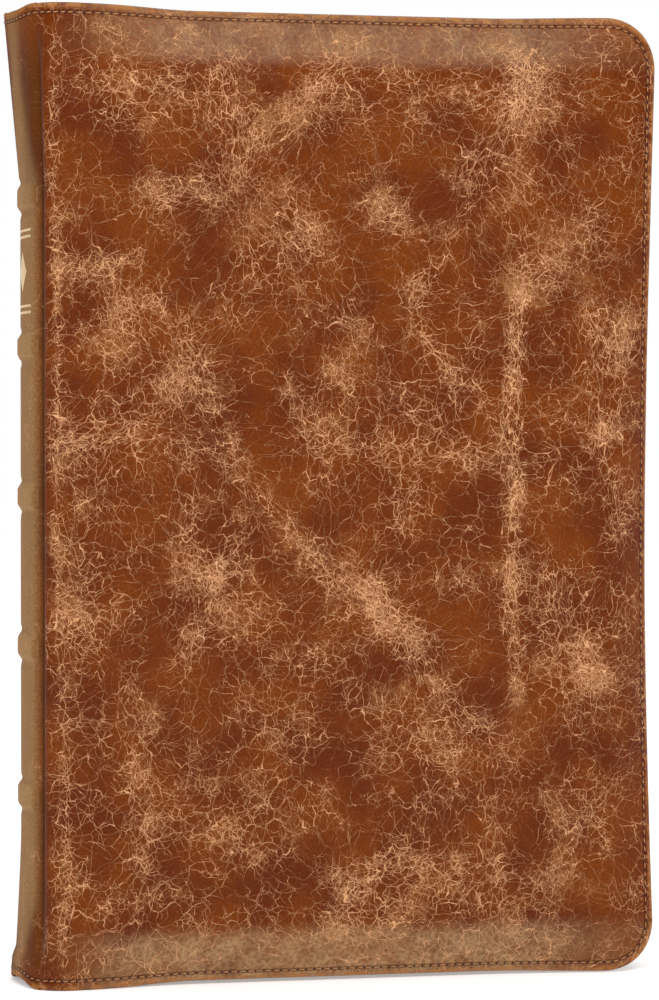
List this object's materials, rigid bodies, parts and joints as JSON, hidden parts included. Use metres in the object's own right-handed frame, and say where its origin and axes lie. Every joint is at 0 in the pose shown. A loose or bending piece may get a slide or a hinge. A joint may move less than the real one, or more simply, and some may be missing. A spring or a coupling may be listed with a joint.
{
  "type": "bible",
  "caption": "Thick leather-bound book standing upright, with raised spine bands, stitched limp overhanging cover edges, hinged covers and a sewn block that opens.",
  "frame": {"origin": "middle of the footprint, on the surface that the tail edges stand on", "axes": "+Z from tail to head, -Y out of the front cover, +X towards the fore-edge"},
  "size_m": [0.1432, 0.0294, 0.215],
  "materials": {
    "cover_leather": "distressed, waxed, crackled",
    "spine_leather": "distressed, waxed, burnished on the bands",
    "lining": "smooth satin",
    "board": "matt",
    "thread": "waxed thread",
    "pages": "thin matt paper with gilt edges",
    "endpaper": "matt",
    "liner": "open weave mull with glue",
    "headband": "silk wound over a cord",
    "band_core": "rough"
  },
  "bodies": {
    "text_rear": {"signature_15": "pages", "signature_16": "pages", "signature_17": "pages", "signature_18": "pages", "signature_19": "pages", "signature_20": "pages", "signature_21": "pages", "signature_22": "pages", "signature_23": "pages", "signature_24": "pages", "spine_liner_rear": "liner", "headband_head_rear": "headband", "headband_tail_rear": "headband", "raised_band_1_rear": "band_core", "raised_band_2_rear": "band_core", "raised_band_3_rear": "band_core", "raised_band_4_rear": "band_core", "raised_band_5_rear": "band_core", "spine_leather_rear": "spine_leather", "spine_stitching_rear": "thread"},
    "text_front": {"signature_01": "pages", "signature_02": "pages", "signature_03": "pages", "signature_04": "pages", "signature_05": "pages", "signature_06": "pages", "signature_07": "pages", "signature_08": "pages", "signature_09": "pages", "signature_10": "pages", "spine_liner_front": "liner", "headband_head_front": "headband", "headband_tail_front": "headband", "raised_band_1_front": "band_core", "raised_band_2_front": "band_core", "raised_band_3_front": "band_core", "raised_band_4_front": "band_core", "raised_band_5_front": "band_core", "spine_leather_front": "spine_leather", "spine_stitching_front": "thread"},
    "front_cover": {"front_cover_leather": "cover_leather", "front_cover_board": "board", "front_cover_lining": "lining", "front_cover_stitching": "thread"},
    "back_cover": {"back_cover_leather": "cover_leather", "back_cover_board": "board", "back_cover_lining": "lining", "back_cover_stitching": "thread"},
    "front_flyleaf": {"front_flyleaf": "endpaper"},
    "back_flyleaf": {"back_flyleaf": "endpaper"},
    "signature_fan_11": {"signature_11": "pages"},
    "signature_fan_12": {"signature_12": "pages"},
    "signature_fan_13": {"signature_13": "pages"},
    "signature_fan_14": {"signature_14": "pages"}
  },
  "joints": [
    {"name": "text_opening", "type": "hinge", "parent": "text_rear", "child": "text_front", "pos_m": [-0.07177, 0, 0], "axis": [0, 0, -1], "range_deg": [0, 120]},
    {"name": "front_cover_hinge", "type": "hinge", "parent": "text_front", "child": "front_cover", "pos_m": [-0.06802, -0.0135, 0], "axis": [0, 0, -1], "range_deg": [0, 180]},
    {"name": "back_cover_hinge", "type": "hinge", "parent": "text_rear", "child": "back_cover", "pos_m": [-0.06802, 0.0135, 0], "axis": [0, 0, 1], "range_deg": [0, 60]},
    {"name": "front_flyleaf_turn", "type": "hinge", "parent": "text_front", "child": "front_flyleaf", "pos_m": [-0.06562, -0.01185, 0], "axis": [0, 0, -1], "range_deg": [0, 90]},
    {"name": "back_flyleaf_turn", "type": "hinge", "parent": "text_rear", "child": "back_flyleaf", "pos_m": [-0.06562, 0.01185, 0], "axis": [0, 0, 1], "range_deg": [0, 30]},
    {"name": "signature_11_turn", "type": "hinge", "parent": "text_rear", "child": "signature_fan_11", "pos_m": [-0.07177, 0, 0], "axis": [0, 0, -1], "range_deg": [0, 96]},
    {"name": "signature_12_turn", "type": "hinge", "parent": "text_rear", "child": "signature_fan_12", "pos_m": [-0.07177, 0, 0], "axis": [0, 0, -1], "range_deg": [0, 72]},
    {"name": "signature_13_turn", "type": "hinge", "parent": "text_rear", "child": "signature_fan_13", "pos_m": [-0.07177, 0, 0], "axis": [0, 0, -1], "range_deg": [0, 48]},
    {"name": "signature_14_turn", "type": "hinge", "parent": "text_rear", "child": "signature_fan_14", "pos_m": [-0.07177, 0, 0], "axis": [0, 0, -1], "range_deg": [0, 24]}
  ],
  "couplings": [
    {"joint": "front_flyleaf_turn", "follows": "front_cover_hinge", "ratio": 0.5},
    {"joint": "back_flyleaf_turn", "follows": "back_cover_hinge", "ratio": 0.5},
    {"joint": "signature_11_turn", "follows": "text_opening", "ratio": 0.8},
    {"joint": "signature_12_turn", "follows": "text_opening", "ratio": 0.6},
    {"joint": "signature_13_turn", "follows": "text_opening", "ratio": 0.4},
    {"joint": "signature_14_turn", "follows": "text_opening", "ratio": 0.2}
  ]
}
